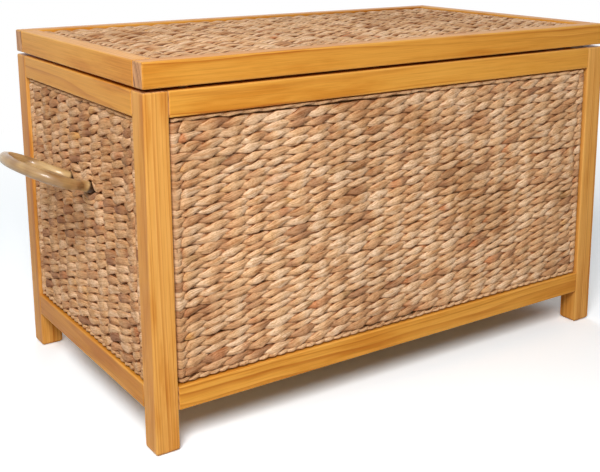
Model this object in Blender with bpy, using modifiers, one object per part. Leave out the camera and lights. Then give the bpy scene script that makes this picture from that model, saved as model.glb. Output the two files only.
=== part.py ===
# Wicker storage trunk: a tenoned pine frame with woven panels, bent cane handles and a hinged lid.
# Metres, +Z up. X runs along the length, Y from the front to the back.
# The origin is on the floor under the middle of the trunk.

import math
import bpy
import bmesh
from mathutils import Matrix, Vector

# Overall sizes
trunk_length = 0.800
trunk_depth = 0.450
body_height = 0.4635

# Pine frame of the body
post_width = 0.033
rail_height = 0.0325
foot_height = 0.0545
frame_edge_radius = 0.0018
foot_chamfer = 0.003

# Clearance between pieces that rest on each other or pass through each other
fit_gap = 0.0003

# Tenons on the rails' ends, in mortises in the posts and in the lid's long rails
tenon_thickness = 0.009
tenon_shoulder = 0.005
tenon_wall = 0.002
mortise_end_room = 0.0005
lid_tenon_length = 0.014

# Woven panels and the beads that hold them in the frame
weave_thickness = 0.013
weave_setback = 0.0015
weave_clearance = 0.0012
weave_edge_radius = 0.0045
bead_width = 0.014
bead_depth = 0.014
strip_edge_radius = 0.001

# Bent cane handles: widths and reach are to the middle of the cane, in the tilted plane of the loop
handle_height = 0.311
handle_tilt = math.radians(24.0)
cane_radius = 0.0078
handle_leg_spacing = 0.068
handle_width = 0.1434
handle_reach = 0.100
handle_widest_at = 0.054
handle_wood_behind = 0.003
handle_batten_height = 0.050
handle_batten_thickness = 0.018
handle_pin_radius = 0.002
handle_pin_length = 0.038
handle_pin_inset = 0.006
# How far the loop's curve runs straight on at its root, shoulder and tip, as shares of each stretch
handle_root_pull = 0.45
handle_shoulder_pull = 0.5
handle_tip_pull = 0.56

# Floor of the trunk
floor_thickness = 0.006
floor_drop = 0.002
floor_side_clearance = 0.001
cleat_width = 0.015
cleat_height = 0.020

# Lid
lid_thickness = 0.0325
lid_rail_width = 0.026
lid_weave_drop = 0.001
lid_board_thickness = 0.005
lid_board_clearance = 0.0006
lid_batten_width = 0.030
lid_batten_height = 0.0115
lid_batten_from_end = 0.215

# Hinges with a stop heel, two of them on the back
lid_open_angle = math.radians(100.0)
hinge_from_end = 0.140
hinge_length = 0.060
leaf_thickness = 0.0016
leaf_depth = 0.022
barrel_radius = 0.0032
hinge_pin_radius = 0.0014
hinge_pin_head_radius = 0.0024
hinge_pin_head_height = 0.0010
centre_knuckle_length = 0.026
tab_overlap = 0.002
heel_thickness = 0.0016
heel_start = 0.0012
heel_length = 0.006
heel_side_room = 0.001
hinge_screw_pitch = 0.038
hinge_screw_from_back = 0.0115
hinge_screw_length = 0.016

# Countersunk hinge screws
screw_head_radius = 0.0030
screw_head_height = 0.0014
screw_shank_radius = 0.0015
screw_point_length = 0.003
screw_head_clearance = 0.002

# Rubber bumpers under the front of the lid
bumper_radius = 0.006
bumper_from_end = 0.060

# Worked out from the sizes above
lid_gap = 2 * leaf_thickness + 3 * fit_gap
lid_bottom = body_height + lid_gap
lid_top = lid_bottom + lid_thickness
axis_y = trunk_depth / 2 + fit_gap + barrel_radius
axis_z = body_height + lid_gap / 2
top_rail_bottom = body_height - rail_height
bottom_rail_top = foot_height + rail_height
bead_front = weave_setback + weave_thickness + fit_gap
tenon_length = (post_width - tenon_thickness) / 2 - tenon_wall
batten_back = bead_front + handle_batten_thickness
batten_level = handle_height - (bead_front + handle_batten_thickness / 2) * math.tan(handle_tilt)
handle_tenon = ((batten_back - handle_wood_behind) / math.cos(handle_tilt)
                - cane_radius * math.tan(handle_tilt))
inner_length = trunk_length - 2 * post_width
inner_depth = trunk_depth - 2 * post_width
hinge_offset = trunk_length / 2 - hinge_from_end
lid_batten_offset = trunk_length / 2 - lid_batten_from_end


# Start from an empty scene
for old in list(bpy.data.objects):
    bpy.data.objects.remove(old, do_unlink=True)

trunk = bpy.data.collections.new("wicker_trunk")
cutters = bpy.data.collections.new("cutters")
bpy.context.scene.collection.children.link(trunk)
bpy.context.scene.collection.children.link(cutters)


def material(name, colour, roughness, metallic=0.0):
    made = bpy.data.materials.new(name)
    made.use_nodes = True
    shader = made.node_tree.nodes["Principled BSDF"]
    shader.inputs["Base Color"].default_value = (*colour, 1.0)
    shader.inputs["Roughness"].default_value = roughness
    shader.inputs["Metallic"].default_value = metallic
    return made


pine = material("pine", (0.72, 0.36, 0.09), 0.38)
pale_wood = material("pale_wood", (0.74, 0.52, 0.27), 0.6)
hyacinth = material("woven_hyacinth", (0.55, 0.35, 0.19), 0.75)
cane = material("bent_cane", (0.50, 0.34, 0.15), 0.3)
plywood = material("plywood", (0.70, 0.50, 0.28), 0.6)
beech = material("beech_pin", (0.72, 0.52, 0.33), 0.6)
steel = material("plated_steel", (0.62, 0.53, 0.34), 0.35, 1.0)
rubber = material("clear_rubber", (0.55, 0.54, 0.50), 0.55)


def link(obj, finish, parent=None):
    obj.data.materials.clear()
    obj.data.materials.append(finish)
    trunk.objects.link(obj)
    obj.parent = parent
    return obj


def pivot(name, location, turn=0.0):
    empty = bpy.data.objects.new(name, None)
    empty.location = location
    empty.rotation_euler = (0.0, 0.0, turn)
    empty.empty_display_size = 0.05
    trunk.objects.link(empty)
    return empty


def box_mesh(name, size, centre=(0.0, 0.0, 0.0)):
    mesh = bpy.data.meshes.new(name)
    form = bmesh.new()
    bmesh.ops.create_cube(form, size=1.0, matrix=Matrix.Translation(centre) @ Matrix.Diagonal((*size, 1.0)))
    form.to_mesh(mesh)
    form.free()
    return mesh


def rounded(obj, radius, segments=2):
    bevel = obj.modifiers.new("rounded_edges", "BEVEL")
    bevel.width = radius
    bevel.segments = segments
    bevel.limit_method = "ANGLE"
    bevel.angle_limit = math.radians(40)
    return bevel


def bar(name, size, centre, finish, parent=None, radius=strip_edge_radius, segments=1):
    obj = bpy.data.objects.new(name, box_mesh(name, size))
    obj.location = centre
    link(obj, finish, parent)
    rounded(obj, radius, segments)
    return obj


def rods_mesh(name, ends, radius, sides=12):
    # one straight round rod for each pair of end points, all in one mesh
    mesh = bpy.data.meshes.new(name)
    form = bmesh.new()
    for start, end in ends:
        start, end = Vector(start), Vector(end)
        run = end - start
        place = Matrix.Translation((start + end) / 2) @ run.to_track_quat("Z", "Y").to_matrix().to_4x4()
        bmesh.ops.create_cone(form, cap_ends=True, segments=sides, radius1=radius, radius2=radius,
                              depth=run.length, matrix=place)
    form.to_mesh(mesh)
    form.free()
    return mesh


def turned(name, profile, place, sides):
    # a profile of (radius, height) points, from top to bottom, turned about its own Z
    mesh = bpy.data.meshes.new(name)
    lines = [(number, number + 1) for number in range(len(profile) - 1)]
    mesh.from_pydata([(radius, 0.0, height) for radius, height in profile], lines, [])
    obj = bpy.data.objects.new(name, mesh)
    obj.matrix_local = place
    screw = obj.modifiers.new("turned", "SCREW")
    screw.steps = sides
    screw.render_steps = sides
    screw.use_merge_vertices = True
    screw.merge_threshold = 0.00002
    return obj


def smooth(obj, angle=35.0):
    obj.data.shade_smooth()
    obj.data.set_sharp_from_angle(angle=math.radians(angle))


def cutter(name, shape, parent=None):
    # shape is a mesh, or an object that already has one
    obj = bpy.data.objects.new(name, shape) if isinstance(shape, bpy.types.Mesh) else shape
    obj.hide_render = True
    obj.display_type = "WIRE"
    obj.parent = parent
    cutters.objects.link(obj)
    return obj


def combine(obj, other, operation):
    change = obj.modifiers.new(other.name, "BOOLEAN")
    change.operation = operation
    change.solver = "EXACT"
    change.object = other
    return change


def cut(obj, other):
    return combine(obj, other, "DIFFERENCE")


def add(obj, other):
    return combine(obj, other, "UNION")


# Walls: an empty on the outer face of each, with its own Y pointing inwards
walls = {
    "front": {"at": pivot("front_wall", (0, -trunk_depth / 2, 0)), "clear": inner_length},
    "rear": {"at": pivot("rear_wall", (0, trunk_depth / 2, 0), math.pi), "clear": inner_length},
    "left": {"at": pivot("left_wall", (-trunk_length / 2, 0, 0), -math.pi / 2), "clear": inner_depth},
    "right": {"at": pivot("right_wall", (trunk_length / 2, 0, 0), math.pi / 2), "clear": inner_depth},
}
bpy.context.view_layer.update()
rail_levels = {"top": body_height - rail_height / 2, "bottom": foot_height + rail_height / 2}


def block_mesh(name, low, high, frame=Matrix.Identity(4)):
    # a plain box between two corners given in frame's own directions
    low, high = Vector(low), Vector(high)
    mesh = box_mesh(name, high - low, (low + high) / 2)
    mesh.transform(frame)
    return mesh


def joined_mesh(name, meshes):
    # separate closed pieces in one mesh, for a cutter
    form = bmesh.new()
    for mesh in meshes:
        form.from_mesh(mesh)
    made = bpy.data.meshes.new(name)
    form.to_mesh(made)
    form.free()
    return made


def tenon_blocks(wall, name, levels, grow=0.0, end_room=0.0):
    # the tenons of a wall's rails, reaching back into the rail so that a union takes hold
    blocks = []
    for height in levels:
        for side in (-1, 1):
            root = wall["clear"] / 2 - fit_gap - tenon_length / 2
            tip = wall["clear"] / 2 + tenon_length + end_room
            low_x, high_x = sorted((side * root, side * tip))
            half = rail_height / 2 - tenon_shoulder + grow
            low = (low_x, (post_width - tenon_thickness) / 2 - grow, height - half)
            high = (high_x, (post_width + tenon_thickness) / 2 + grow, height + half)
            blocks.append(block_mesh(name, low, high, wall["at"].matrix_world))
    return joined_mesh(name, blocks)


def make_post(name, side_x, side_y, mortises):
    # a square post whose foot is chamfered all round
    mesh = box_mesh(name, (post_width, post_width, body_height), (0, 0, body_height / 2))
    form = bmesh.new()
    form.from_mesh(mesh)
    foot = [edge for edge in form.edges if all(vert.co.z < foot_chamfer for vert in edge.verts)]
    bmesh.ops.bevel(form, geom=foot, offset=foot_chamfer, segments=1, affect="EDGES")
    form.to_mesh(mesh)
    form.free()
    post = bpy.data.objects.new(name, mesh)
    post.location = (side_x * (trunk_length - post_width) / 2, side_y * (trunk_depth - post_width) / 2, 0)
    link(post, pine)
    rounded(post, frame_edge_radius)
    for mortise in mortises:
        cut(post, mortise)
    return post


def make_rails(name, wall, tenons):
    for level, height in rail_levels.items():
        rail = bar(f"{name}_{level}_rail", (wall["clear"] - 2 * fit_gap, post_width, rail_height),
                   (0, post_width / 2, height), pine, wall["at"], frame_edge_radius, 2)
        add(rail, tenons[level])


def make_panel(name, wall):
    # the weave fills the opening, a little behind the frame's face
    height = top_rail_bottom - bottom_rail_top
    size = (wall["clear"] - 2 * weave_clearance, weave_thickness, height - 2 * weave_clearance)
    centre = (0, weave_setback + weave_thickness / 2, (top_rail_bottom + bottom_rail_top) / 2)
    return bar(f"{name}_woven_panel", size, centre, hyacinth, wall["at"], weave_edge_radius, 3)


def make_beads(name, wall):
    # a strip behind the weave along each rail, which the weave is tacked to
    across = wall["clear"] - 2 * fit_gap
    depth = bead_front + bead_depth / 2
    for level, height in (("top", top_rail_bottom - fit_gap - bead_width / 2),
                          ("bottom", bottom_rail_top + fit_gap + bead_width / 2)):
        bar(f"{name}_{level}_bead", (across, bead_depth, bead_width), (0, depth, height), pale_wood,
            wall["at"])


mortise_cutters = {}
for wall_name, wall in walls.items():
    tenons = {}
    for level, height in rail_levels.items():
        tenons[level] = cutter(f"{wall_name}_{level}_tenons",
                               tenon_blocks(wall, f"{wall_name}_{level}_tenons", [height]))
    mortise_cutters[wall_name] = cutter(f"{wall_name}_mortises",
                                        tenon_blocks(wall, f"{wall_name}_mortises", rail_levels.values(),
                                                     fit_gap, mortise_end_room))
    make_rails(wall_name, wall, tenons)
    make_beads(wall_name, wall)
panels = {wall_name: make_panel(wall_name, wall) for wall_name, wall in walls.items()}
for front_or_rear, side_y in (("front", -1), ("rear", 1)):
    for left_or_right, side_x in (("left", -1), ("right", 1)):
        make_post(f"{front_or_rear}_{left_or_right}_post", side_x, side_y,
                  (mortise_cutters[front_or_rear], mortise_cutters[left_or_right]))


# Handles: a cane loop through each end panel, pinned in a batten behind the weave
def bezier(points, steps):
    # points along a cubic curve, without its last one
    out = []
    for step in range(steps):
        t = step / steps
        shares = ((1 - t) ** 3, 3 * (1 - t) ** 2 * t, 3 * (1 - t) * t ** 2, t ** 3)
        out.append(sum((share * Vector(point) for share, point in zip(shares, points)), Vector((0, 0))))
    return out


def handle_path():
    # the loop in its own plane: across, and out from the wall's face
    leg = handle_leg_spacing / 2
    wide = handle_width / 2
    tip_run = handle_tip_pull * (handle_reach - handle_widest_at)
    half = [Vector((leg, -handle_tenon)), Vector((leg, -handle_tenon / 2))]
    half += bezier([(leg, 0), (leg, handle_root_pull * handle_widest_at),
                    (wide, handle_shoulder_pull * handle_widest_at), (wide, handle_widest_at)], 7)
    half += bezier([(wide, handle_widest_at), (wide, handle_widest_at + tip_run),
                    (handle_tip_pull * wide, handle_reach), (0, handle_reach)], 9)
    return half + [Vector((0, handle_reach))] + [Vector((-p.x, p.y)) for p in reversed(half)]


def leg_ends(wall, start, end):
    # the two straight legs of a wall's handle, from start to end along the loop's plane
    frame = wall["at"].matrix_world
    ends = []
    for side in (-1, 1):
        pair = []
        for out in (start, end):
            pair.append(frame @ Vector((side * handle_leg_spacing / 2, -out * math.cos(handle_tilt),
                                        handle_height + out * math.sin(handle_tilt))))
        ends.append(pair)
    return ends


def pin_ends(wall, room_below=0.0, room_above=0.0):
    # upright pins from the batten's top edge down through the legs
    frame = wall["at"].matrix_world
    top = batten_level + handle_batten_height / 2
    ends = []
    for side in (-1, 1):
        across = side * handle_leg_spacing / 2
        depth = bead_front + handle_pin_inset
        ends.append((frame @ Vector((across, depth, top - handle_pin_length - room_below)),
                     frame @ Vector((across, depth, top - fit_gap + room_above))))
    return ends


def make_handle(name, wall):
    line = bpy.data.curves.new(f"{name}_handle", "CURVE")
    line.dimensions = "3D"
    line.bevel_depth = cane_radius
    line.bevel_resolution = 3
    line.use_fill_caps = True
    path = handle_path()
    spline = line.splines.new("POLY")
    spline.points.add(len(path) - 1)
    for point, place in zip(spline.points, path):
        point.co = (place.x, -place.y, 0, 1)
    guide = bpy.data.objects.new(f"{name}_handle_line", line)
    cutters.objects.link(guide)
    bpy.context.view_layer.update()
    mesh = bpy.data.meshes.new_from_object(guide.evaluated_get(bpy.context.evaluated_depsgraph_get()))
    bpy.data.objects.remove(guide, do_unlink=True)
    form = bmesh.new()
    form.from_mesh(mesh)
    bmesh.ops.remove_doubles(form, verts=form.verts, dist=0.00005)
    form.to_mesh(mesh)
    form.free()
    handle = bpy.data.objects.new(f"{name}_handle", mesh)
    handle.location = (0, 0, handle_height)
    handle.rotation_euler = (-handle_tilt, 0, 0)
    smooth(link(handle, cane, wall["at"]))
    return handle


def make_handle_batten(name, wall):
    across = wall["clear"] - 2 * fit_gap
    return bar(f"{name}_handle_batten", (across, handle_batten_thickness, handle_batten_height),
               (0, bead_front + handle_batten_thickness / 2, batten_level), pale_wood, wall["at"])


for wall_name, sides in (("left", ("rear", "front")), ("right", ("front", "rear"))):
    wall = walls[wall_name]
    legs = leg_ends(wall, -handle_tenon - mortise_end_room, 2 * cane_radius)
    leg_holes = cutter(f"{wall_name}_leg_holes",
                       rods_mesh(f"{wall_name}_leg_holes", legs, cane_radius + fit_gap, 16))
    pin_holes = cutter(f"{wall_name}_pin_holes",
                       rods_mesh(f"{wall_name}_pin_holes",
                                 pin_ends(wall, mortise_end_room, strip_edge_radius + fit_gap),
                                 handle_pin_radius + fit_gap))
    handle = make_handle(wall_name, wall)
    batten = make_handle_batten(wall_name, wall)
    cut(panels[wall_name], leg_holes)
    cut(batten, leg_holes)
    cut(batten, pin_holes)
    cut(handle, pin_holes)
    for side, ends in zip(sides, pin_ends(wall)):
        pin_name = f"{wall_name}_handle_{side}_pin"
        pin = bpy.data.objects.new(pin_name, rods_mesh(pin_name, [ends], handle_pin_radius))
        smooth(link(pin, beech))


# Countersunk screws
def screw_profile(grow=0.0, above=0.0):
    # from the top of the head, on the axis, down to the point
    head, shank = screw_head_radius + grow, screw_shank_radius + grow
    top = [(0.0, above), (head, above)] if above else [(0.0, 0.0)]
    return top + [(head, 0.0), (shank, -screw_head_height),
                  (shank, grow - hinge_screw_length + screw_point_length), (0.0, -hinge_screw_length - grow)]


def facing(place, direction):
    # a matrix at place whose Z points along direction
    return Matrix.Translation(place) @ Vector(direction).to_track_quat("Z", "Y").to_matrix().to_4x4()


def make_screw(name, place, parent=None):
    # returns the cutter of the screw's hole
    screw = turned(name, screw_profile(), place, 10)
    link(screw, steel, parent)
    hole = turned(f"{name}_hole", screw_profile(fit_gap, screw_head_clearance), place, 10)
    return cutter(f"{name}_hole", hole, parent)


# Floor: a board on two cleats glued to the bottom rails
def make_floor():
    floor_top = bottom_rail_top - floor_drop
    cleat_top = floor_top - floor_thickness - fit_gap
    size = (inner_length - 2 * floor_side_clearance, inner_depth - 2 * floor_side_clearance, floor_thickness)
    bar("floor_board", size, (0, 0, floor_top - floor_thickness / 2), plywood)
    cleat_face = inner_depth / 2 - fit_gap - cleat_width
    for name, side in (("front", -1), ("rear", 1)):
        bar(f"{name}_floor_cleat", (inner_length - 2 * fit_gap, cleat_width, cleat_height),
            (0, side * (cleat_face + cleat_width / 2), cleat_top - cleat_height / 2), pale_wood)


make_floor()


# Lid: everything on it hangs from an empty on the hinge axis
lid = pivot("lid_pivot", (0, axis_y, axis_z))
bpy.context.view_layer.update()


def on_lid(x, y, z):
    # a world place as a place under the lid's empty
    return (x, y - axis_y, z - axis_z)


def lid_tenon_blocks(name, sides, grow=0.0, end_room=0.0):
    # tenons of the lid's short rails, which reach into the long ones
    middle = lid_bottom + lid_thickness / 2
    half = lid_thickness / 2 - tenon_shoulder + grow
    reach = trunk_depth / 2 - lid_rail_width
    blocks = []
    for side_x in sides:
        for side_y in (-1, 1):
            x = side_x * (trunk_length - lid_rail_width) / 2
            root, tip = reach - fit_gap - lid_tenon_length / 2, reach + lid_tenon_length + end_room
            low_y, high_y = sorted((side_y * root, side_y * tip))
            blocks.append(block_mesh(name, on_lid(x - tenon_thickness / 2 - grow, low_y, middle - half),
                                     on_lid(x + tenon_thickness / 2 + grow, high_y, middle + half)))
    return joined_mesh(name, blocks)


def make_lid():
    blocks = lid_tenon_blocks("lid_mortises", (-1, 1), fit_gap, mortise_end_room)
    mortises = cutter("lid_mortises", blocks, lid)
    middle = lid_bottom + lid_thickness / 2
    open_x = trunk_length - 2 * lid_rail_width
    open_y = trunk_depth - 2 * lid_rail_width
    for name, side in (("front", -1), ("rear", 1)):
        rail = bar(f"lid_{name}_rail", (trunk_length, lid_rail_width, lid_thickness),
                   on_lid(0, side * (trunk_depth - lid_rail_width) / 2, middle), pine, lid,
                   frame_edge_radius, 2)
        cut(rail, mortises)
    for name, side in (("left", -1), ("right", 1)):
        rail = bar(f"lid_{name}_rail", (lid_rail_width, open_y - 2 * fit_gap, lid_thickness),
                   on_lid(side * (trunk_length - lid_rail_width) / 2, 0, middle), pine, lid,
                   frame_edge_radius, 2)
        tenons = cutter(f"lid_{name}_tenons", lid_tenon_blocks(f"lid_{name}_tenons", (side,)), lid)
        add(rail, tenons)
    weave_top = lid_top - lid_weave_drop
    board_top = weave_top - weave_thickness - fit_gap
    batten_top = board_top - lid_board_thickness - fit_gap
    bar("lid_woven_panel", (open_x - 2 * weave_clearance, open_y - 2 * weave_clearance, weave_thickness),
        on_lid(0, 0, weave_top - weave_thickness / 2), hyacinth, lid, weave_edge_radius, 3)
    bar("lid_backing_board",
        (open_x - 2 * lid_board_clearance, open_y - 2 * lid_board_clearance, lid_board_thickness),
        on_lid(0, 0, board_top - lid_board_thickness / 2), plywood, lid)
    for name, side in (("left", -1), ("right", 1)):
        bar(f"lid_{name}_batten", (lid_batten_width, open_y - 2 * fit_gap, lid_batten_height),
            on_lid(side * lid_batten_offset, 0, batten_top - lid_batten_height / 2), pale_wood, lid)


make_lid()


# Hinges
def barrel(name, spans, radius, sides=20):
    # round lengths along the axis, each from one x to another
    return rods_mesh(name, [((low, 0, 0), (high, 0, 0)) for low, high in spans], radius, sides)


def leaf_screw_places(centre_x, up):
    # places of a leaf's two screws from the lid's empty, with their heads facing up or down
    y = trunk_depth / 2 - hinge_screw_from_back - axis_y
    return [facing((centre_x + side * hinge_screw_pitch / 2, y, -up * fit_gap / 2), (0, 0, up))
            for side in (-1, 1)]


half_length = hinge_length / 2
half_centre = centre_knuckle_length / 2
outer_spans = [(-half_length, -half_centre - fit_gap), (half_centre + fit_gap, half_length)]
centre_span = [(-half_centre, half_centre)]
back_face = -axis_y + trunk_depth / 2


def make_leaf(name, centre_x, up, spans):
    # up is 1 for the leaf under the lid and -1 for the one on the body's rear rail
    inner = up * fit_gap / 2
    outer = inner + up * leaf_thickness
    low, high = min(inner, outer), max(inner, outer)
    leaf = bpy.data.objects.new(name, block_mesh(name, (-half_length, back_face - leaf_depth, low),
                                                 (half_length, back_face, high)))
    leaf.location = (centre_x, 0, 0) if up > 0 else (centre_x, axis_y, axis_z)
    link(leaf, steel, lid if up > 0 else None)
    place = pivot(f"{name}_place", (centre_x, axis_y, axis_z))
    for number, (start, end) in enumerate(spans, 1):
        tab = f"{name}_tab_{number}"
        add(leaf, cutter(tab, block_mesh(tab, (start, back_face - tab_overlap, low), (end, 0, high)), place))
    add(leaf, cutter(f"{name}_barrel", barrel(f"{name}_barrel", spans, barrel_radius), place))
    if up > 0:
        # the heel meets the body's rear face when the lid is fully open
        block = block_mesh(f"{name}_heel", (heel_side_room - half_centre, back_face + fit_gap, -heel_length),
                           (half_centre - heel_side_room, back_face + fit_gap + heel_thickness, -heel_start))
        heel = cutter(f"{name}_heel", block, place)
        heel.rotation_euler = (lid_open_angle, 0, 0)
        add(leaf, heel)
    bore_end = half_length + centre_knuckle_length
    cut(leaf, cutter(f"{name}_bore", barrel(f"{name}_bore", [(-bore_end, bore_end)],
                                            hinge_pin_radius + fit_gap), place))
    return leaf


def make_hinge(name, centre_x):
    body_leaf = make_leaf(f"{name}_hinge_body_leaf", centre_x, -1, outer_spans)
    lid_leaf = make_leaf(f"{name}_hinge_lid_leaf", centre_x, 1, centre_span)
    to_world = Matrix.Translation((0, axis_y, axis_z))
    for number, place in enumerate(leaf_screw_places(centre_x, 1), 1):
        hole = make_screw(f"{name}_hinge_body_screw_{number}", to_world @ place)
        cut(body_leaf, hole)
        cut(bpy.data.objects["rear_top_rail"], hole)
    for number, place in enumerate(leaf_screw_places(centre_x, -1), 1):
        hole = make_screw(f"{name}_hinge_lid_screw_{number}", place, lid)
        cut(lid_leaf, hole)
        cut(bpy.data.objects["lid_rear_rail"], hole)
    smooth(body_leaf)
    smooth(lid_leaf)


for hinge_name, hinge_side in (("left", -1), ("right", 1)):
    make_hinge(hinge_name, hinge_side * hinge_offset)


def make_hinge_pins():
    # a plain pin with a peened head at each end
    end = half_length + fit_gap
    tip = end + hinge_pin_head_height
    profile = [(0.0, tip), (hinge_pin_head_radius, tip), (hinge_pin_head_radius, end), (hinge_pin_radius, end),
               (hinge_pin_radius, -end), (hinge_pin_head_radius, -end), (hinge_pin_head_radius, -tip),
               (0.0, -tip)]
    for name, side in (("left_hinge_pin", -1), ("right_hinge_pin", 1)):
        link(turned(name, profile, facing((side * hinge_offset, axis_y, axis_z), (1, 0, 0)), 16), steel)


def make_bumpers():
    # soft stops under the lid's front rail, which carry it on the body
    y = -trunk_depth / 2 + post_width / 2
    for name, side in (("left_lid_bumper", -1), ("right_lid_bumper", 1)):
        x = side * (trunk_length / 2 - bumper_from_end)
        ends = [(on_lid(x, y, body_height + fit_gap), on_lid(x, y, lid_bottom - fit_gap))]
        made = bpy.data.objects.new(name, rods_mesh(name, ends, bumper_radius, 20))
        smooth(link(made, rubber, lid))


make_hinge_pins()
make_bumpers()
bpy.context.view_layer.update()
print("objects:", sum(1 for obj in trunk.objects if obj.type == "MESH"))
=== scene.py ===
import itertools
import math
import bmesh
import bpy
import numpy as np
from mathutils import Euler, Matrix, Vector


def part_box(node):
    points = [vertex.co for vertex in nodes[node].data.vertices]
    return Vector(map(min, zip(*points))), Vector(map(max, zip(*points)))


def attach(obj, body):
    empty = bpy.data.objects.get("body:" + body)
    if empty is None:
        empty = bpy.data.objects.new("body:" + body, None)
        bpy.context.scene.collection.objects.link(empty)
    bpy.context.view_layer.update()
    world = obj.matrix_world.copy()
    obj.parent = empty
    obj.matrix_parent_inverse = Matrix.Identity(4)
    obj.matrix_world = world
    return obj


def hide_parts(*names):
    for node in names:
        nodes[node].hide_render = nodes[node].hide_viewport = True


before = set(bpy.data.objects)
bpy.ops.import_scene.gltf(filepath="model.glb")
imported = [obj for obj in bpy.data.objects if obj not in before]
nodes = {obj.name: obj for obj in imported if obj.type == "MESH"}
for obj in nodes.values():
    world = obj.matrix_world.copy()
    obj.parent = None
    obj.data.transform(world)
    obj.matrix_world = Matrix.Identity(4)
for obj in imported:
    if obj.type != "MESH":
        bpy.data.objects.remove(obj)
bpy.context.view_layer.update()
scene = bpy.context.scene
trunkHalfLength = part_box("lid_front_rail")[1].x
print("frame loaded:", len(nodes), "parts")


# helpers for node materials
def newMaterial(name):
    made = bpy.data.materials.new(name)
    made.use_nodes = True
    tree = made.node_tree
    return made, tree, tree.nodes["Principled BSDF"]


def addNode(tree, kind, settings=None, **inputs):
    # settings are properties of the node, inputs are sockets by name, either a value or a socket to link
    node = tree.nodes.new("ShaderNode" + kind)
    for key, value in (settings or {}).items():
        setattr(node, key, value)
    for key, value in inputs.items():
        socket = node.inputs[int(key[1:])] if key[0] == "i" and key[1:].isdigit() else node.inputs[key]
        if isinstance(value, bpy.types.NodeSocket):
            tree.links.new(value, socket)
        else:
            socket.default_value = value
    return node


def maths(tree, operation, a, b=0.0):
    return addNode(tree, "Math", {"operation": operation}, i0=a, i1=b).outputs[0]


def spread(tree, value, low, high, newLow=0.0, newHigh=1.0):
    # value between low and high, carried to the new range and held there
    return addNode(tree, "MapRange", {"clamp": True}, i0=value, i1=low, i2=high, i3=newLow, i4=newHigh).outputs[0]


def ramp(tree, value, stops):
    # stops are pairs of a place from 0 to 1 and a colour
    node = addNode(tree, "ValToRGB", None, i0=value)
    band = node.color_ramp
    band.elements.remove(band.elements[1])
    band.elements[0].position = stops[0][0]
    band.elements[0].color = (*stops[0][1], 1.0)
    for place, colour in stops[1:]:
        band.elements.new(place).color = (*colour, 1.0)
    return node.outputs[0]


def mixColour(tree, share, a, b, blend="MIX"):
    node = addNode(tree, "Mix", {"data_type": "RGBA", "blend_type": blend})
    for socket, value in ((node.inputs[0], share), (node.inputs[6], a), (node.inputs[7], b)):
        if isinstance(value, bpy.types.NodeSocket):
            tree.links.new(value, socket)
        else:
            socket.default_value = value if isinstance(value, float) else (*value, 1.0)
    return node.outputs[2]


plain = (1.0, 1.0, 1.0)     # leaves a colour as it is where tones are multiplied


def toned(tree, colour, value, stops, share=1.0):
    # a colour multiplied by a ramp of tones, of which a share shows
    return mixColour(tree, share, colour, ramp(tree, value, stops), "MULTIPLY")


def noise(tree, vector, scale, detail=3.0, roughness=0.5, distortion=0.0):
    node = addNode(tree, "TexNoise", None, Vector=vector, Scale=scale, Detail=detail, Roughness=roughness,
                   Distortion=distortion)
    return node.outputs[0]


def bump(tree, height, distance, normal=None):
    node = addNode(tree, "Bump", None, Height=height, Distance=distance)
    if normal:
        tree.links.new(normal, node.inputs["Normal"])
    return node.outputs[0]


def moved(tree, vector, location=(0, 0, 0), rotation=(0, 0, 0), scale=(1, 1, 1)):
    return addNode(tree, "Mapping", None, Vector=vector, Location=location, Rotation=rotation,
                   Scale=scale).outputs[0]


def srgb(red, green, blue):
    # a colour as picked on screen, 0 to 255, to the linear values that the shaders take
    return tuple((c / 255 / 12.92) if c <= 10 else ((c / 255 + 0.055) / 1.055) ** 2.4 for c in (red, green, blue))


# wood; lengths are in metres here and in all that follows
pineLook = {
    "earlyWood": srgb(235, 168, 71),
    "midWood": srgb(226, 156, 60),
    "lateWood": srgb(190, 109, 32),
    "wearAndHighlight": srgb(240, 186, 104),
    "endLight": srgb(214, 156, 104),
    "endDark": srgb(132, 80, 46),
    "ringSpacing": 0.0058,
    "ringWander": 0.014,
    "ringUneven": (0.6, 2.2),     # how often the rings' widths change, and by how many rings
    "ringShare": (0.15, 0.90),
    "ringDepth": 0.3,             # against the depth of the fibres
    "pithAway": (0.07, 0.12),
    "wearAndHighlightWidth": (0.0008, 0.0030),
    "wearAndHighlightShare": 0.42,
    "roughness": (0.30, 0.44),
    "coat": 0.04,
    "coatRoughness": 0.16,
    "fibreDepth": 0.00006,
    "pieceSpread": 0.05,       # how much lighter or darker one piece is than the next
    "patchTones": ((0.88, 0.77, 0.60), (1.04, 1.08, 1.20)),
    "streakTones": ((0.88, 0.82, 0.72), (1.05, 1.05, 1.06)),
    "streakShare": 0.6,
    "fibreTone": (0.84, 0.79, 0.72),
    "fibreShare": 0.7,
    "specular": 0.08,
}
postLook = dict(pineLook, earlyWood=srgb(235, 172, 88), midWood=srgb(228, 162, 78), lateWood=srgb(194, 116, 44),
                pieceSpread=0.02)
paleLook = dict(pineLook, earlyWood=srgb(232, 205, 160), midWood=srgb(222, 190, 142), lateWood=srgb(196, 152, 100),
                wearAndHighlight=srgb(236, 212, 170), endLight=srgb(214, 180, 132), endDark=srgb(160, 118, 76),
                wearAndHighlightShare=0.15, roughness=(0.55, 0.7), coat=0.0, fibreDepth=0.00012)
beechLook = dict(paleLook, earlyWood=srgb(226, 190, 150), midWood=srgb(216, 176, 134), lateWood=srgb(196, 150, 108),
                 ringSpacing=0.0025)

# how finely each layer of the grain varies, twice across the piece and once along it
woodGrain = {
    "wander": (7, 7, 2.0),
    "clouds": (26, 26, 1.7),
    "patches": (34, 34, 4.5),
    "streaks": (320, 320, 6),
    "fibres": (1100, 1100, 16),
}

# how a piece's length is turned onto the tree's own axis, which is Z, and the number of that length's axis
alongAxis = {
    "x": ((0.0, math.radians(90), 0.0), 0),
    "y": ((math.radians(90), 0.0, 0.0), 1),
    "z": ((0.0, 0.0, 0.0), 2),
}
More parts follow.
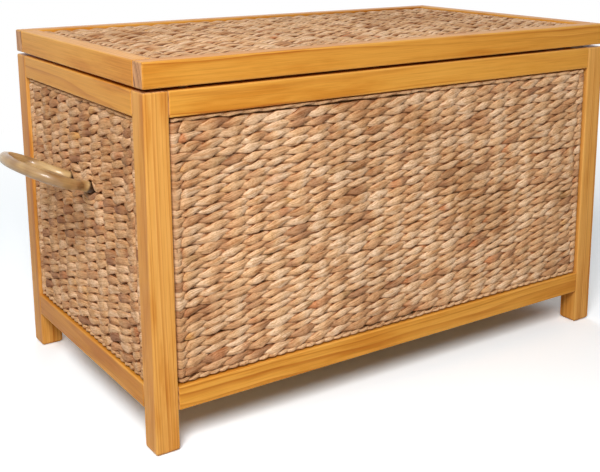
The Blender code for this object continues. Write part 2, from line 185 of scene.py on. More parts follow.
# the way from a piece to its pith once it is turned: behind the outer face of a rail, beside that of a post
pithWay = {"front": 90.0, "rear": -90.0, "left": 0.0, "right": 180.0, "post": 12.0, "any": 50.0}
pithSlant = (6.0, 18.0)     # how far the pith lies to either side of that way, in degrees
pithTilt = 0.012            # how far it leans from the piece's length, in radians


def edgeWearAndHighlight(tree, place, half, width):
    # 1 along a box's edges, falling to 0 over the width of the strip of wear and painted highlight
    apart = addNode(tree, "SeparateXYZ", None, Vector=place).outputs
    inside = [maths(tree, "SUBTRACT", half[i], maths(tree, "ABSOLUTE", apart[i])) for i in range(3)]
    lower = maths(tree, "MINIMUM", inside[0], inside[1])
    upper = maths(tree, "MAXIMUM", inside[0], inside[1])
    second = maths(tree, "MAXIMUM", lower, maths(tree, "MINIMUM", upper, inside[2]))
    return spread(tree, second, *width, 1.0, 0.0)


def woodMaterial(name, node, look, along, pith, seed):
    # growth rings round a pith that lies outside the piece, cut where the piece's faces pass through them
    made, tree, shader = newMaterial(name)
    random = np.random.default_rng(seed)
    low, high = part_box(node)
    place = moved(tree, addNode(tree, "TexCoord").outputs["Object"], location=-(low + high) / 2)
    turn, lengthwise = alongAxis[along]
    turned = moved(tree, place, rotation=turn, location=(0, 0, random.uniform(0, 40)))
    way = math.radians(pithWay[pith] + random.choice((-1, 1)) * random.uniform(*pithSlant))
    away = random.uniform(*look["pithAway"])
    tilt = random.uniform(-pithTilt, pithTilt, 2)
    fromPith = moved(tree, place, rotation=turn)
    fromPith = moved(tree, fromPith, rotation=(tilt[0], tilt[1], 0.0),
                     location=(-away * math.cos(way), -away * math.sin(way), 0.0))
    wander = noise(tree, moved(tree, turned, scale=woodGrain["wander"]), 1.0, 3.0, 0.45)
    apart = addNode(tree, "SeparateXYZ", None, Vector=fromPith).outputs
    across = addNode(tree, "CombineXYZ", None, X=apart[0], Y=apart[1]).outputs[0]
    distance = addNode(tree, "VectorMath", {"operation": "LENGTH"}, i0=across).outputs[1]
    rings = maths(tree, "DIVIDE", maths(tree, "ADD", distance, maths(tree, "MULTIPLY", wander, look["ringWander"])),
                  look["ringSpacing"])
    often, much = look["ringUneven"]
    drift = addNode(tree, "TexNoise", {"noise_dimensions": "1D"}, W=maths(tree, "MULTIPLY", rings, often), Scale=1.0,
                    Detail=1.0).outputs[0]
    phase = maths(tree, "FRACT", maths(tree, "ADD", rings, maths(tree, "MULTIPLY", drift, much)))
    growth = ramp(tree, phase, [(0.0, look["earlyWood"]), (0.6, look["midWood"]), (0.88, look["lateWood"]),
                                (0.95, look["lateWood"]), (1.0, look["earlyWood"])])
    clouds = noise(tree, moved(tree, turned, location=(seed, 0, 0), scale=woodGrain["clouds"]), 1.0, 3.0, 0.55)
    tone = mixColour(tree, spread(tree, clouds, 0.36, 0.62, *look["ringShare"]), look["midWood"], growth)
    patches = noise(tree, moved(tree, turned, location=(0, seed, 0), scale=woodGrain["patches"]), 1.0, 4.0, 0.6)
    own = 1 + look["pieceSpread"] * random.uniform(-1, 1)
    own = np.array((own, own ** 1.5, own ** 2))
    dark, light = look["patchTones"]
    tone = toned(tree, tone, patches, [(0.38, own * dark), (0.49, own), (0.61, own * light)])
    streaks = noise(tree, moved(tree, turned, location=(3, 5, seed), scale=woodGrain["streaks"]), 1.0, 3.0, 0.6)
    dark, light = look["streakTones"]
    tone = toned(tree, tone, streaks, [(0.36, dark), (0.5, plain), (0.66, light)], look["streakShare"])
    fibres = noise(tree, moved(tree, turned, scale=woodGrain["fibres"]), 1.0, 3.0, 0.6)
    tone = toned(tree, tone, fibres, [(0.34, look["fibreTone"]), (0.5, plain)], look["fibreShare"])
    ends = ramp(tree, phase, [(0.0, look["endLight"]), (0.5, look["endLight"]), (0.85, look["endDark"]),
                              (0.95, look["endDark"]), (1.0, look["endLight"])])
    facing = addNode(tree, "SeparateXYZ", None, Vector=addNode(tree, "TexCoord").outputs["Normal"]).outputs
    onEnd = maths(tree, "GREATER_THAN", maths(tree, "ABSOLUTE", facing[lengthwise]), 0.85)    # cut across the grain
    tone = mixColour(tree, onEnd, tone, ends)
    # paler edges: wear, and a painted highlight where the rounded edges catch the light
    wearAndHighlight = edgeWearAndHighlight(tree, place, (high - low) / 2, look["wearAndHighlightWidth"])
    wearAndHighlight = maths(tree, "MULTIPLY", wearAndHighlight, spread(tree, patches, 0.4, 0.62, look["wearAndHighlightShare"] * 0.3, look["wearAndHighlightShare"]))
    tone = mixColour(tree, wearAndHighlight, tone, look["wearAndHighlight"])
    tree.links.new(tone, shader.inputs["Base Color"])
    smooth, rough = look["roughness"]
    tree.links.new(spread(tree, fibres, 0.25, 0.75, rough, smooth), shader.inputs["Roughness"])
    relief = maths(tree, "ADD", fibres, maths(tree, "MULTIPLY", phase, look["ringDepth"]))
    tree.links.new(bump(tree, relief, look["fibreDepth"]), shader.inputs["Normal"])
    shader.inputs["Specular IOR Level"].default_value = look["specular"]
    shader.inputs["Coat Weight"].default_value = look["coat"]
    shader.inputs["Coat Roughness"].default_value = look["coatRoughness"]
    return made


def setMaterial(name, material):
    slots = nodes[name].data.materials
    slots.clear()
    slots.append(material)


woodSeeds = itertools.count(211)


def finishWood(node, kind, look, along, pith):
    setMaterial(node, woodMaterial(f"{kind} {node.replace('_', ' ')}", node, look, along, pith, next(woodSeeds)))


for depth in ("front", "rear"):
    for side in ("left", "right"):
        finishWood(f"{depth}_{side}_post", "pine", postLook, "z", "post")
for wall in ("front", "rear", "left", "right"):
    along = "x" if wall in ("front", "rear") else "y"
    for level in ("top", "bottom"):
        finishWood(f"{wall}_{level}_rail", "pine", pineLook, along, wall)
        finishWood(f"{wall}_{level}_bead", "pale", paleLook, along, "any")
    finishWood(f"lid_{wall}_rail", "pine", pineLook, along, wall)
for side in ("left", "right"):
    finishWood(f"lid_{side}_batten", "pale", paleLook, "y", "any")
    finishWood(f"{side}_handle_batten", "pale", paleLook, "y", "any")
    for end in ("front", "rear"):
        finishWood(f"{side}_handle_{end}_pin", "beech", beechLook, "z", "any")
for depth in ("front", "rear"):
    finishWood(f"{depth}_floor_cleat", "pale", paleLook, "x", "any")
print("wood finished")

plyLook = {
    "light": srgb(228, 196, 148),
    "mid": srgb(218, 182, 132),
    "dark": srgb(202, 162, 112),
    "plies": 0.0012,
    "roughness": (0.5, 0.66),
    "warp": (1.2, 3.4, 1.0),
    "figure": (2.2, 22, 1),
    "fibres": (18, 1100, 300),
    "fibreTone": (0.84, 0.80, 0.74),
    "fibreShare": 0.5,
    "fibreDepth": 0.0001,
}


def plyMaterial(name, seed):
    # rotary-cut face: broad wavy figure, with thin plies on the edges
    made, tree, shader = newMaterial(name)
    place = addNode(tree, "TexCoord").outputs["Object"]
    own = moved(tree, place, location=(seed, seed * 0.7, 0))
    warp = noise(tree, moved(tree, own, scale=plyLook["warp"]), 1.0, 2.0)
    warp = addNode(tree, "CombineXYZ", None, X=warp, Y=warp).outputs[0]
    waves = addNode(tree, "VectorMath", {"operation": "ADD"}, i0=moved(tree, own, scale=plyLook["figure"]), i1=warp)
    figure = noise(tree, waves.outputs[0], 1.0, 4.0, 0.55, 0.8)
    tone = ramp(tree, figure, [(0.26, plyLook["dark"]), (0.46, plyLook["mid"]), (0.68, plyLook["light"])])
    fibres = noise(tree, moved(tree, own, scale=plyLook["fibres"]), 1.0, 3.0, 0.6)
    tone = toned(tree, tone, fibres, [(0.32, plyLook["fibreTone"]), (0.55, plain)], plyLook["fibreShare"])
    height = addNode(tree, "SeparateXYZ", None, Vector=place).outputs[2]
    layer = maths(tree, "PINGPONG", height, plyLook["plies"])
    edge = spread(tree, layer, plyLook["plies"] * 0.35, plyLook["plies"] * 0.65)
    upright = addNode(tree, "SeparateXYZ", None, Vector=addNode(tree, "TexCoord").outputs["Normal"]).outputs[2]
    onEdge = maths(tree, "LESS_THAN", maths(tree, "ABSOLUTE", upright), 0.5)
    tone = mixColour(tree, maths(tree, "MULTIPLY", onEdge, edge), tone, plyLook["dark"])
    tree.links.new(tone, shader.inputs["Base Color"])
    low, high = plyLook["roughness"]
    tree.links.new(spread(tree, fibres, 0.25, 0.75, high, low), shader.inputs["Roughness"])
    tree.links.new(bump(tree, fibres, plyLook["fibreDepth"]), shader.inputs["Normal"])
    return made


setMaterial("floor_board", plyMaterial("plywood floor", 3.1))
setMaterial("lid_backing_board", plyMaterial("plywood lid", 8.6))
print("plywood finished")


# the bent cane of the handles, whose legs pass through the woven ends
caneSizes = {
    "height": 0.311,
    "tilt": math.radians(24.0),
    "radius": 0.0077,
    "legSpacing": 0.068,      # from middle to middle
    "width": 0.1434,
    "reach": 0.0999,
    "widestAt": 0.054,
    "legBehind": 0.0294,
    "pulls": (0.45, 0.5, 0.56),
    "steps": (5, 18, 20),     # along a leg, to the widest place and on to the tip
    "sides": 28,
    "uneven": 0.022,
    "jointsAt": (0.085, 0.262),     # the two growth joints of the cane, along it
    "jointSwell": 0.02,
    "jointLength": 0.0022,
}


def legHoles(low, high):
    # where the handle's two legs cross a woven end, from the middle of the panel, and how far they climb inwards
    climb = math.tan(caneSizes["tilt"])
    outer = trunkHalfLength - (abs(low.x) + abs(high.x)) / 2
    return [(side * caneSizes["legSpacing"] / 2, caneSizes["height"] - outer * climb - (low.z + high.z) / 2, climb)
            for side in (-1, 1)]


# woven panels
weaveSizes = {
    "depthSwing": 0.0029,     # how far a strand moves out and in, each way
    "thick": (0.0028, 0.0033),    # half the thickness of a strand, on a stitch and where two cross
    "section": 2.5,           # 2 is an oval strand, more is flatter
    "slimness": 1.25,         # how soon a leaf narrows from its middle
    "flatness": 0.85,         # below 1 a leaf lies flat and then dives, at 1 it winds like rope
    "edgeRoom": 0.0003,
    "bandRoom": 0.007,        # no stitch is centred closer to a row's end
    "stakeSpread": 0.0022,    # how far the hidden stakes, which the stitches sit on, stray from even
    "rowShift": 0.0022,
    "endSteps": 6,
    "rowWobble": 0.0007,
    "wobbleRun": 36,          # samples from one bend of a row to the next
    "pitchSpread": 0.10,
    "tallSpread": 0.15,
    "cornerRadius": 0.009,
    "rimHeight": 0.0072,
    "holePush": 0.0090,       # how far a handle's leg parts the rows on either side of it
    "holeReach": 0.034,       # how far up and down the rows give way
    "holeLength": 0.0135,
    "slimmest": 0.0026,
    "riseWobble": 0.0004,
    "thickSpread": 0.06,
}
strandStep = 57.0     # sets a row's second strand apart from its first on the map called strands
rimStep = 100         # sets the edge rows apart from the others there
roundShare = 0.98     # how much of the step from one row to the next the way round a strand takes up there
mapMargin = 0.03      # room between two rows on the bake's map, as a share of a row
# wide and narrow are half the height of a strand, on a stitch and where two cross; lift is how far it climbs
rowKinds = {
    "row": {"pitch": 0.01175, "stitch": 0.0340, "wide": 0.0069, "narrow": 0.0038, "lift": 0.0030,
            "uneven": 0.0024, "samples": 8, "sides": 8},
    "end row": {"pitch": 0.01175, "stitch": 0.0385, "wide": 0.0070, "narrow": 0.0047, "lift": 0.0034,
                "uneven": 0.0030, "samples": 8, "sides": 8},
    "top rim": {"pitch": 0.0072, "stitch": 0.027, "wide": 0.0037, "narrow": 0.0028, "lift": 0.0006,
                "uneven": 0.002, "samples": 4, "sides": 6},
    "bottom rim": {"pitch": 0.0072, "stitch": 0.015, "wide": 0.0038, "narrow": 0.0022, "lift": 0.0010,
                   "uneven": 0.001, "samples": 4, "sides": 6},
}


def smoothNoise(random, count, spacing):
    # a smooth random line of unit spread, with a knot every spacing samples
    knots = random.normal(size=max(2, int(count / spacing) + 3))
    at = np.arange(count) / spacing
    low = np.floor(at).astype(int)
    t = at - low
    t = t * t * (3 - 2 * t)
    return knots[low] * (1 - t) + knots[low + 1] * t


def stitchCentres(random, kind, length, stakes):
    # where one row's stitches are centred along it, on the stakes that all rows share, with one at each end
    if stakes is None:
        stakes = np.arange(1, length / kind["stitch"]) * kind["stitch"]
    else:
        stakes = stakes + length / 2 + random.normal(0, weaveSizes["rowShift"])
    centres = stakes + random.normal(0, kind["uneven"], len(stakes))
    room = weaveSizes["bandRoom"]
    return np.concatenate([[0.0], centres[(centres > room) & (centres < length - room)], [length]])


def strandLine(random, kind, centres, second):
    # x, depth, height, half height, half thickness and half turns along one strand of a row
    count = len(centres) - 1
    u = np.linspace(0, count, count * kind["samples"] + 1)
    turn = math.pi * (u + second)
    front = np.cos(turn)
    lying = np.abs(front)
    tall = kind["wide"] - (kind["wide"] - kind["narrow"]) * np.abs(np.sin(turn)) ** weaveSizes["slimness"]
    tall = tall * (1 + weaveSizes["tallSpread"] * np.clip(smoothNoise(random, len(u), kind["samples"]), -0.4, 1.8))
    rise = kind["lift"] * np.sin(turn)
    rise = rise + weaveSizes["riseWobble"] * smoothNoise(random, len(u), kind["samples"] * 0.7)
    onStitch, crossing = weaveSizes["thick"]
    thick = crossing + (onStitch - crossing) * lying
    thinner = 1 - np.clip(smoothNoise(random, len(u), kind["samples"] * 0.5), -1, 1)
    thick = thick * (1 - weaveSizes["thickSpread"] * thinner)
    return np.stack([np.interp(u, np.arange(count + 1), centres),
                     -weaveSizes["depthSwing"] * np.sign(front) * lying ** weaveSizes["flatness"], rise, tall, thick,
                     u + second * strandStep], 1)


def endTurn(start, end, outward):
    # the half turn round a row's end, from one strand to the other
    middle = (start[:3] + end[:3]) / 2
    reach = abs(start[1] - end[1]) / 2
    steps = weaveSizes["endSteps"]
    arc = []
    for step in range(1, steps):
        angle = math.pi * step / steps
        place = middle + (start[:3] - middle) * math.cos(angle)
        place[0] = middle[0] + outward * reach * math.sin(angle)
        share = step / steps
        section = start[3:5] * (1 - share) + end[3:5] * share
        arc.append(np.concatenate([place, section, [start[5] if share < 0.5 else end[5]]]))
    return np.array(arc)


def rowLoop(random, kind, length, stakes):
    # a closed loop for a row: out along one strand, round the end and back along the other
    centres = stitchCentres(random, kind, length, stakes)
    out = strandLine(random, kind, centres, 0)
    back = strandLine(random, kind, centres, 1)[::-1]
    loop = np.concatenate([out, endTurn(out[-1], back[0], 1), back, endTurn(back[-1], out[0], -1)])
    sway = weaveSizes["rowWobble"] * np.clip(smoothNoise(random, len(out), weaveSizes["wobbleRun"]), -1.2, 1.2)
    loop[:len(out), 2] += sway
    loop[len(out) + weaveSizes["endSteps"] - 1:][:len(out), 2] += sway[::-1]
    loop[:, 0] -= length / 2
    return loop


def partedRound(loop, hole, middle):
    # a row's strands moved up or down round a handle's leg
    # hole is (x, height at no depth, climb for each metre of depth), middle is the row's own height
    aside = loop[:, 0] - hole[0]
    side = 1.0 if middle > hole[1] else -1.0
    above = side * (loop[:, 2] - (hole[1] - hole[2] * loop[:, 1]))
    push, reach = weaveSizes["holePush"], weaveSizes["holeReach"]
    bell = np.exp(-(aside / weaveSizes["holeLength"]) ** 2)
    give = np.where(above < reach, push * bell * (1 - np.maximum(above, 0.0) / reach), 0.0)
    loop[:, 2] += side * give
    loop[:, 3] *= np.where(above < reach, 1 - bell * push / reach, 1.0)
    leg = np.sqrt(np.maximum(caneSizes["radius"] ** 2 - aside ** 2, 0.0))
    beside = (np.abs(aside) < caneSizes["radius"]) & (above < reach)
    room = np.maximum(above + give - leg, weaveSizes["slimmest"])
    loop[:, 3] = np.where(beside, np.minimum(loop[:, 3], room), loop[:, 3])


def sweep(loop, sides):
    # an oval tube along a closed loop
    place = loop[:, :3]
    ahead = np.roll(place, -1, 0) - np.roll(place, 1, 0)
    ahead /= np.linalg.norm(ahead, axis=1)[:, None]
    flatwise = np.cross(ahead, (0.0, 0.0, 1.0))
    flatwise /= np.linalg.norm(flatwise, axis=1)[:, None]
    upwards = np.cross(flatwise, ahead)
    angle = np.arange(sides) / sides * 2 * math.pi
    up, out = (np.sign(way) * np.abs(way) ** (2 / weaveSizes["section"]) for way in (np.cos(angle), np.sin(angle)))
    return (place[:, None] + upwards[:, None] * (up[None, :, None] * loop[:, 3, None, None])
            + flatwise[:, None] * (out[None, :, None] * loop[:, 4, None, None])).reshape(-1, 3)


def tubeFaces(count, sides, first):
    i = np.arange(count)[:, None]
    j = np.arange(sides)[None, :]
    nextI, nextJ = (i + 1) % count, (j + 1) % sides
    faces = np.stack([i * sides + j, nextI * sides + j, nextI * sides + nextJ, i * sides + nextJ], -1)
    return first + faces.reshape(-1, 4)


def corners(lowU, highU, lowV, highV):
    # the four corners of each face on a map, in the order of tubeFaces
    return np.stack([np.stack(pair, 1) for pair in ((lowU, lowV), (highU, lowV), (highU, highV), (lowU, highV))], 1)


def rowPlan(random, height, kindName, holes):
    # from the bottom: the kind, the middle and the pitch of each row, with a handle's legs between two rows
    rim = weaveSizes["rimHeight"]
    count = round((height - 2 * rim) / rowKinds[kindName]["pitch"])
    shares = 1 + weaveSizes["pitchSpread"] * np.clip(random.normal(size=count), -1.5, 1.5)
    pitches = shares / shares.sum() * (height - 2 * rim)
    edges = np.concatenate([[0], np.cumsum(pitches)]) + rim - height / 2
    if holes:
        nearest = edges[np.argmin(np.abs(edges - holes[0][1]))]
        edges = np.interp(edges, [edges[0], nearest, edges[-1]], [edges[0], holes[0][1], edges[-1]])
    plan = [("bottom rim", (rim - height) / 2, rim)]
    plan += [(kindName, (a + b) / 2, b - a) for a, b in zip(edges[:-1], edges[1:])]
    return plan + [("top rim", (height - rim) / 2, rim)]


def weavePanel(name, length, height, seed, rows, holes):
    # twined rows in a flat panel: x along the rows, -y towards the viewer, z up, its middle at the origin
    random = np.random.default_rng(seed)
    room = weaveSizes["edgeRoom"]
    inner = length - 2 * (weaveSizes["depthSwing"] + weaveSizes["thick"][1] + room)
    plan = rowPlan(random, height, rows, holes)
    count = round(length / rowKinds[rows]["stitch"])
    stakes = (np.arange(count) - (count - 1) / 2) * inner / count
    stakes = stakes + random.normal(0, weaveSizes["stakeSpread"], count)
    points, faces, strandMap, bakeMap = [], [], [], []
    first = 0
    for row, (kindName, middle, pitch) in enumerate(plan):
        kind = rowKinds[kindName]
        toEdge = height / 2 - abs(middle)
        radius = weaveSizes["cornerRadius"]
        inset = radius - math.sqrt(radius ** 2 - (radius - toEdge) ** 2) if toEdge < radius else 0.0
        loop = rowLoop(random, kind, inner - 2 * inset, stakes if kindName == rows else None)
        loop[:, 3] *= pitch / kind["pitch"]
        loop[:, 2] += middle
        for hole in holes:
            partedRound(loop, hole, middle)
        low, high = room - height / 2, height / 2 - room
        loop[:, 3] = np.minimum(loop[:, 3], np.minimum(loop[:, 2] - low, high - loop[:, 2]))
        count, sides = len(loop), kind["sides"]
        points.append(sweep(loop, sides))
        faces.append(tubeFaces(count, sides, first))
        first += count * sides
        i = np.repeat(np.arange(count), sides)
        j = np.tile(np.arange(sides), count)
        u0, u1 = loop[i, 5], loop[(i + 1) % count, 5]
        u1 = np.where(np.abs(u1 - u0) > strandStep / 2, u0 + 0.1, u1)    # where one strand goes over into the other
        label = row + (0 if kindName == rows else rimStep)
        lowV, highV = (label + (j + step) / sides * roundShare for step in (0, 1))
        strandMap.append(corners(u0, u1, lowV, highV))
        lowV, highV = (mapMargin + (1 - 2 * mapMargin) * (j + step) / sides for step in (0, 1))
        bakeMap.append(corners(i / count, (i + 1) / count, (row + lowV) / len(plan), (row + highV) / len(plan)))
    points, faces = np.concatenate(points), np.concatenate(faces)
    mesh = bpy.data.meshes.new(name)
    mesh.vertices.add(len(points))
    mesh.vertices.foreach_set("co", points.astype(np.float32).ravel())
    mesh.loops.add(len(faces) * 4)
    mesh.loops.foreach_set("vertex_index", faces.astype(np.int32).ravel())
    mesh.polygons.add(len(faces))
    mesh.polygons.foreach_set("loop_start", np.arange(len(faces), dtype=np.int32) * 4)
    mesh.polygons.foreach_set("use_smooth", np.ones(len(faces), dtype=bool))
    # strands runs along and round each strand, for its colours; OFBake gives every face a place of its own
    for layer, values in (("strands", strandMap), ("OFBake", bakeMap)):
        mesh.uv_layers.new(name=layer).data.foreach_set("uv", np.concatenate(values).astype(np.float32).ravel())
    mesh.update(calc_edges=True)
    mesh.validate()
    made = bpy.data.objects.new(name, mesh)
    scene.collection.objects.link(made)
    return made


weaveLook = {
    "cream": srgb(236, 202, 167),
    "straw": srgb(225, 182, 138),
    "tan": srgb(210, 162, 119),
    "golden": srgb(226, 175, 112),
    "mauve": srgb(178, 132, 97),
    "greyGreen": srgb(187, 151, 108),
    "rust": srgb(206, 142, 98),
    "rim": srgb(226, 186, 142),
    "rimShare": 0.6,
    "creaseShadeAndDirt": (0.42, 0.20, 0.06),     # what the deepest painted shade and dirt leave of each colour
    "shadeAndDirtFrom": 0.90,      # 1 is a strand's very edge, 0 the middle of its face
    "roughness": (0.5, 0.75),
    "regionScale": 7.0,
    "toneRun": 0.5,        # how soon the colour changes along a strand
    "toneStep": 7.31,      # from one row to the next, so that no two are coloured alike
    "fibreStep": 13.7,     # the same for their fibres
    "fibreRound": 11.0,    # how soon the fibres change round a strand
    "fibreGrain": (1.6, 2.4, 1),
    "foldGrain": (0.8, 0.75, 1),
    "mottleGrain": (7.0, 1.5, 1),
    "regionTones": ((0.82, 0.75, 0.67), (1.05, 1.04, 1.02)),
    "streakTones": ((0.64, 0.47, 0.31), (1.14, 1.14, 1.14)),
    "streakShare": 0.85,
    "wrinkleTone": (0.68, 0.52, 0.37),
    "wrinkleShare": 0.7,
    "mottleTones": ((0.81, 0.73, 0.62), (1.10, 1.09, 1.08)),
    "specular": 0.1,
    "fibreDepth": 0.0004,
    "foldDepth": 0.0009,
}
# the ends are warmer, and the lid's weave is a darker copy with painted shade, wider and darker between its strands
endWeaveLook = dict(weaveLook, cream=srgb(238, 199, 161), straw=srgb(220, 174, 127), tan=srgb(202, 152, 110),
                    golden=srgb(224, 172, 108), mauve=srgb(160, 115, 86), greyGreen=srgb(164, 129, 92),
                    rim=srgb(220, 178, 132), creaseShadeAndDirt=(0.38, 0.18, 0.055), shadeAndDirtFrom=0.88)
shadedLidWeaveLook = dict(weaveLook, creaseShadeAndDirt=(0.25, 0.12, 0.05), shadeAndDirtFrom=0.68, mauve=srgb(164, 116, 78),
                    greyGreen=srgb(170, 132, 92), tan=srgb(196, 146, 102))


def weaveMaterial(name, look, seed):
    # colours run along each strand, and its two edges, where it touches its neighbours, are darker with painted shade
    # and dirt
    made, tree, shader = newMaterial(name)
    uv = addNode(tree, "UVMap", {"uv_map": "strands"}).outputs[0]
    apart = addNode(tree, "SeparateXYZ", None, Vector=uv).outputs
    row = maths(tree, "FLOOR", apart[1])
    around = maths(tree, "FRACT", apart[1])
    strand = addNode(tree, "CombineXYZ", None, X=maths(tree, "MULTIPLY", apart[0], look["toneRun"]),
                     Y=maths(tree, "MULTIPLY", row, look["toneStep"]), Z=float(seed)).outputs[0]
    tone = noise(tree, strand, 1.0, 2.0, 0.45)
    second = noise(tree, moved(tree, strand, location=(31, 17, 5)), 1.0, 1.0, 0.4)
    base = ramp(tree, tone, [(0.32, look["mauve"]), (0.41, look["tan"]), (0.48, look["straw"]), (0.57, look["cream"]),
                             (0.65, look["straw"]), (0.74, look["golden"])])
    base = mixColour(tree, spread(tree, second, 0.66, 0.72), base, look["rust"])
    base = mixColour(tree, spread(tree, second, 0.33, 0.25), base, look["greyGreen"])
    onRim = maths(tree, "GREATER_THAN", row, rimStep - 0.5)
    base = mixColour(tree, maths(tree, "MULTIPLY", onRim, look["rimShare"]), base, look["rim"])
    region = noise(tree, addNode(tree, "TexCoord").outputs["Object"], look["regionScale"], 2.0, 0.5)
    dark, light = look["regionTones"]
    base = toned(tree, base, region, [(0.36, dark), (0.52, plain), (0.64, light)])
    across = maths(tree, "ADD", maths(tree, "MULTIPLY", around, look["fibreRound"]),
                   maths(tree, "MULTIPLY", row, look["fibreStep"]))
    along = addNode(tree, "CombineXYZ", None, X=apart[0], Y=across, Z=float(seed)).outputs[0]
    fibres = noise(tree, moved(tree, along, scale=look["fibreGrain"]), 1.0, 5.0, 0.7)
    folds = noise(tree, moved(tree, along, location=(4, 9, 2), scale=look["foldGrain"]), 1.0, 2.0, 0.45, 0.3)
    dark, light = look["streakTones"]
    base = toned(tree, base, fibres, [(0.36, dark), (0.49, plain), (0.60, light)], look["streakShare"])
    base = toned(tree, base, folds, [(0.34, look["wrinkleTone"]), (0.46, plain)], look["wrinkleShare"])
    mottle = noise(tree, moved(tree, along, location=(2, 6, 8), scale=look["mottleGrain"]), 1.0, 3.0, 0.65)
    dark, light = look["mottleTones"]
    base = toned(tree, base, mottle, [(0.36, dark), (0.5, plain), (0.64, light)])
    # painted shade and dirt along each strand's two edges, where it tucks under its neighbours
    upOrDown = maths(tree, "ABSOLUTE", maths(tree, "COSINE", maths(tree, "MULTIPLY", around, 2 * math.pi)))
    ragged = maths(tree, "ADD", upOrDown, spread(tree, fibres, 0.3, 0.7, -0.09, 0.09))
    shadeAndDirt = spread(tree, ragged, look["shadeAndDirtFrom"], 1.0)
    base = mixColour(tree, shadeAndDirt, base, mixColour(tree, 1.0, base, look["creaseShadeAndDirt"], "MULTIPLY"))
    tree.links.new(base, shader.inputs["Base Color"])
    low, high = look["roughness"]
    tree.links.new(spread(tree, fibres, 0.3, 0.7, high, low), shader.inputs["Roughness"])
    deep = bump(tree, folds, look["foldDepth"])
    tree.links.new(bump(tree, fibres, look["fibreDepth"], deep), shader.inputs["Normal"])
    shader.inputs["Specular IOR Level"].default_value = look["specular"]
    return made


# each panel: its CAD node, the body it rides on, and the turn from the flat panel to its place
panelPlaces = {
    "front_woven_panel": {"body": "body", "turn": (0.0, 0.0, 0.0), "seed": 21},
    "rear_woven_panel": {"body": "body", "turn": (0.0, 0.0, math.pi), "seed": 22},
    "left_woven_panel": {"body": "body", "turn": (0.0, 0.0, -math.pi / 2), "seed": 23},
    "right_woven_panel": {"body": "body", "turn": (0.0, 0.0, math.pi / 2), "seed": 24},
    "lid_woven_panel": {"body": "lid", "turn": (-math.pi / 2, 0.0, 0.0), "seed": 25},
}
for node, place in panelPlaces.items():
    low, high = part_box(node)
    size = high - low
    if node.startswith("lid"):
        length, height = size.x, size.y
    elif node.startswith(("left", "right")):
        length, height = size.y, size.z
    else:
        length, height = size.x, size.z
    isEnd = node.startswith(("left", "right"))
    made = weavePanel(node.replace("_woven_panel", "_weave"), length, height, place["seed"],
                      "end row" if isEnd else "row", legHoles(low, high) if isEnd else ())
    made.data.transform(Matrix.Translation((low + high) / 2) @ Euler(place["turn"]).to_matrix().to_4x4())
    look = endWeaveLook if isEnd else shadedLidWeaveLook if node.startswith("lid") else weaveLook
    made.data.materials.append(weaveMaterial(f"twined fibre {made.name}", look, place["seed"]))
    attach(made, place["body"])
    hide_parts(node)
    print("woven:", made.name, len(made.data.polygons), "faces")


# cane handles
caneLook = {
    "pale": srgb(206, 176, 124),
    "mid": srgb(186, 150, 98),
    "dark": srgb(148, 112, 70),
    "holeShadeAndDirt": srgb(58, 38, 24),       # painted shade of the holes, with dirt, on the legs where they pass through the weave
    "holeShadeEnds": (-0.0020, 0.0012),    # from the panel's face outwards
    "grain": (16, 26, 1),
    "patches": (22, 1.3, 1),
    "grainTone": (0.74, 0.68, 0.58),
    "grainShare": 0.8,
    "roughness": (0.34, 0.46),
    "coat": 0.5,
    "coatRoughness": 0.06,
    "fibreDepth": 0.00005,
}


def bezier(points, steps):
    t = (np.arange(steps) / steps)[:, None]
    a, b, c, d = (np.array(point, float) for point in points)
    return (1 - t) ** 3 * a + 3 * (1 - t) ** 2 * t * b + 3 * (1 - t) * t ** 2 * c + t ** 3 * d


def caneLine():
    sizes = caneSizes
    leg, wide, far, widest = sizes["legSpacing"] / 2, sizes["width"] / 2, sizes["reach"], sizes["widestAt"]
    root, shoulder, tip = sizes["pulls"]
    tipRun = tip * (far - widest)
    legSteps, wideSteps, tipSteps = sizes["steps"]
    half = np.concatenate([
        bezier([(leg, -sizes["legBehind"] * share) for share in (1, 0.66, 0.33, 0)], legSteps),
        bezier([(leg, 0), (leg, root * widest), (wide, shoulder * widest), (wide, widest)], wideSteps),
        bezier([(wide, widest), (wide, widest + tipRun), (tip * wide, far), (0, far)], tipSteps),
        [[0, far]]])
    other = half[:-1][::-1] * (-1, 1)
    return np.concatenate([half, other])


